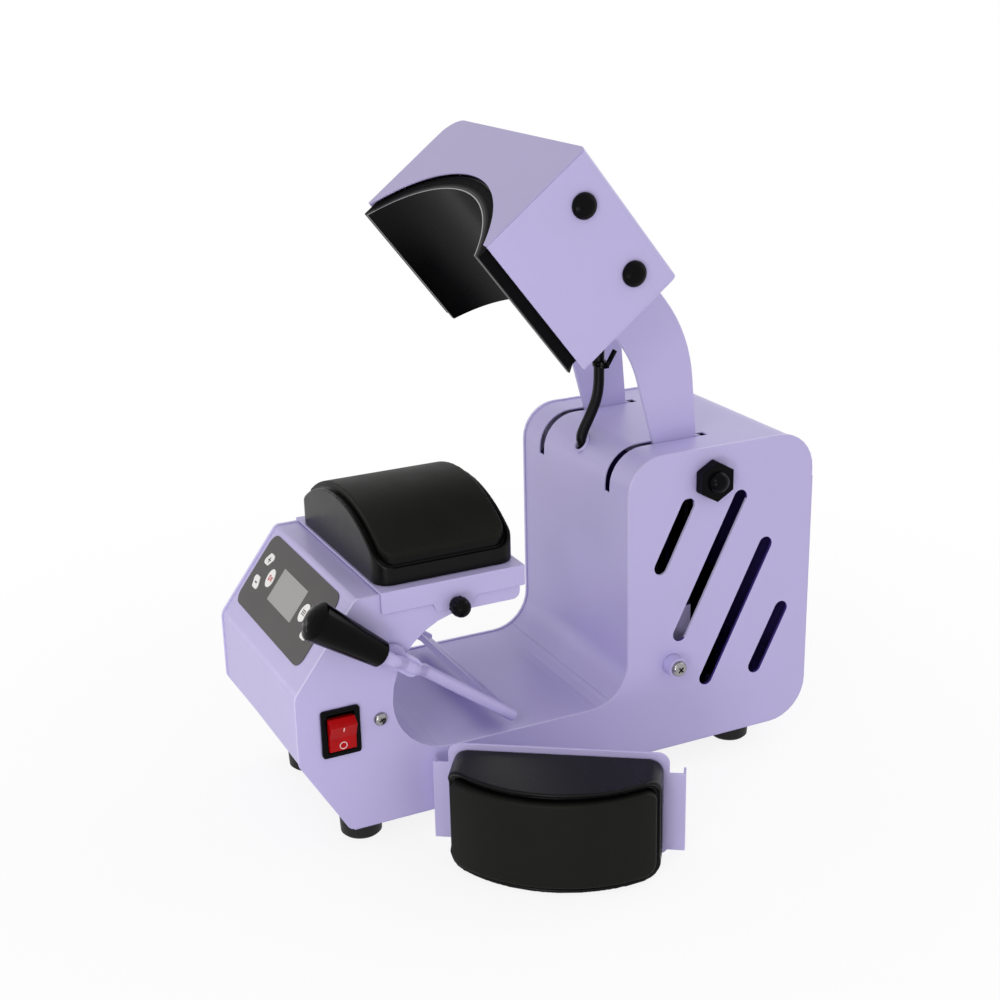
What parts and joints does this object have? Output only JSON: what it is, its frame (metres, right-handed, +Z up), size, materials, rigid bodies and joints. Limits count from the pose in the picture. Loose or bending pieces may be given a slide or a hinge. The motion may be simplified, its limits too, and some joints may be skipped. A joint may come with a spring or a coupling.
{
  "type": "cap heat press",
  "caption": "Cap heat press: arched heated head on two swinging arms over a padded cap mat, with a tension lever, control panel and a spare mat beside it",
  "frame": {"origin": "On the table plane, in the middle between the four rubber feet", "axes": "+X to the machine's right, the side with the mains switch; -Y to the front, the side with the control panel; +Z up"},
  "size_m": [0.2867, 0.3752, 0.426],
  "materials": {
    "lilac_paint": "satin powder coat",
    "zinc_steel": "zinc plated",
    "black_steel": "black oxide",
    "platen_metal": "dark non-stick coat",
    "clamp_steel": "plain",
    "rubber": "matt",
    "heater_rubber": "moulded",
    "fibre": "woven glass fibre",
    "black_plastic": "moulded, glossy",
    "matt_plastic": "moulded",
    "red_plastic": "translucent, glossy",
    "white_plastic": "moulded",
    "panel_film": "printed film",
    "display": "clear window over a grey display",
    "board": "solder mask",
    "bronze": "sintered",
    "ceramic": "ceramic",
    "foam_pad": "foam with a fabric face"
  },
  "bodies": {
    "body": {"side_plate_right": "lilac_paint", "side_plate_left": "lilac_paint", "front_panel": "lilac_paint", "throat_liner": "lilac_paint", "tower_cover": "lilac_paint", "rear_cover": "lilac_paint", "base_pan": "lilac_paint", "feet": "rubber", "foot_screws": "zinc_steel", "power_inlet": "matt_plastic", "rocker_bezel": "matt_plastic", "panel_overlay": "panel_film", "lcd_window": "display", "control_board": "board", "power_board": "board", "panel_screws": "zinc_steel", "stop_spacers": "lilac_paint", "stop_screws": "zinc_steel", "pivot_shaft": "zinc_steel", "pivot_spacers": "zinc_steel", "pivot_cap_nuts": "black_plastic", "actuator_body": "black_steel", "actuator_motor": "black_steel", "captive_nuts": "zinc_steel", "cable_grommet": "rubber", "heater_cable": "rubber"},
    "head": {"arm_right": "lilac_paint", "arm_left": "lilac_paint", "hub_tube": "zinc_steel", "pivot_bushes": "bronze", "crank_pin": "zinc_steel", "head_shell": "lilac_paint", "head_front_plate": "lilac_paint", "head_rear_plate": "lilac_paint", "heating_platen": "platen_metal", "heater_mat": "heater_rubber", "insulation": "fibre", "clamp_plate": "clamp_steel", "platen_brackets": "clamp_steel", "head_bars": "zinc_steel", "head_plugs": "matt_plastic", "head_sensors": "ceramic", "cable_gland": "matt_plastic"},
    "drive_rod": {"push_rod": "zinc_steel"},
    "switch_rocker": {"rocker": "red_plastic"},
    "key_plus_cap": {"key_plus": "white_plastic"},
    "key_minus_cap": {"key_minus": "white_plastic"},
    "key_start_cap": {"key_start": "white_plastic"},
    "key_menu_cap": {"key_menu": "white_plastic"},
    "key_next_cap": {"key_next": "white_plastic"},
    "key_back_cap": {"key_back": "white_plastic"},
    "tension_lever": {"lever_bail": "lilac_paint", "lever_pins": "zinc_steel", "lever_grip": "black_plastic"},
    "mat_unit": {"mat_bracket": "lilac_paint", "cap_mat": "foam_pad"},
    "right_knob": {"knob_right": "matt_plastic"},
    "left_knob": {"knob_left": "matt_plastic"},
    "spare_unit": {"spare_bracket": "lilac_paint", "spare_mat": "foam_pad"}
  },
  "joints": [
    {"name": "head_hinge", "type": "hinge", "parent": "body", "child": "head", "pos_m": [0, 0.1049, 0.2042], "axis": [1, 0, 0], "range_deg": [0, 50], "deforming": ["heater_cable"]},
    {"name": "drive_rod_slide", "type": "slide", "parent": "body", "child": "drive_rod", "axis": [0, 0, 1], "range_m": [0, 0.02508]},
    {"name": "rocker_hinge", "type": "hinge", "parent": "body", "child": "switch_rocker", "pos_m": [0.071, -0.15905, 0.0866], "axis": [0, 1, 0], "range_deg": [-24, 0]},
    {"name": "key_plus_press", "type": "slide", "parent": "body", "child": "key_plus_cap", "axis": [0, 0.8, -0.6], "range_m": [0, 0.0004], "stiffness_N_per_m": 600},
    {"name": "key_minus_press", "type": "slide", "parent": "body", "child": "key_minus_cap", "axis": [0, 0.8, -0.6], "range_m": [0, 0.0004], "stiffness_N_per_m": 600},
    {"name": "key_start_press", "type": "slide", "parent": "body", "child": "key_start_cap", "axis": [0, 0.8, -0.6], "range_m": [0, 0.0004], "stiffness_N_per_m": 600},
    {"name": "key_menu_press", "type": "slide", "parent": "body", "child": "key_menu_cap", "axis": [0, 0.8, -0.6], "range_m": [0, 0.0004], "stiffness_N_per_m": 600},
    {"name": "key_next_press", "type": "slide", "parent": "body", "child": "key_next_cap", "axis": [0, 0.8, -0.6], "range_m": [0, 0.0004], "stiffness_N_per_m": 600},
    {"name": "key_back_press", "type": "slide", "parent": "body", "child": "key_back_cap", "axis": [0, 0.8, -0.6], "range_m": [0, 0.0004], "stiffness_N_per_m": 600},
    {"name": "lever_hinge", "type": "hinge", "parent": "body", "child": "tension_lever", "pos_m": [0, -0.124, 0.1295], "axis": [1, 0, 0], "range_deg": [0, 35]},
    {"name": "mat_lift", "type": "slide", "parent": "body", "child": "mat_unit", "axis": [0, 0, -1], "range_m": [-0.06, 0]},
    {"name": "right_knob_turn", "type": "hinge", "parent": "body", "child": "right_knob", "pos_m": [0.08, -0.0802, 0.1552], "axis": [1, 0, 0], "range_deg": [0, 720]},
    {"name": "left_knob_turn", "type": "hinge", "parent": "body", "child": "left_knob", "pos_m": [-0.08, -0.0802, 0.1552], "axis": [-1, 0, 0], "range_deg": [0, 720]},
    {"name": "spare_lift", "type": "slide", "parent": "body", "child": "spare_unit", "axis": [0, 0, 1], "range_m": [0, 0.08]}
  ],
  "couplings": [
    {"joint": "drive_rod_slide", "follows": "head_hinge", "m_per_rad": 0.028738}
  ]
}
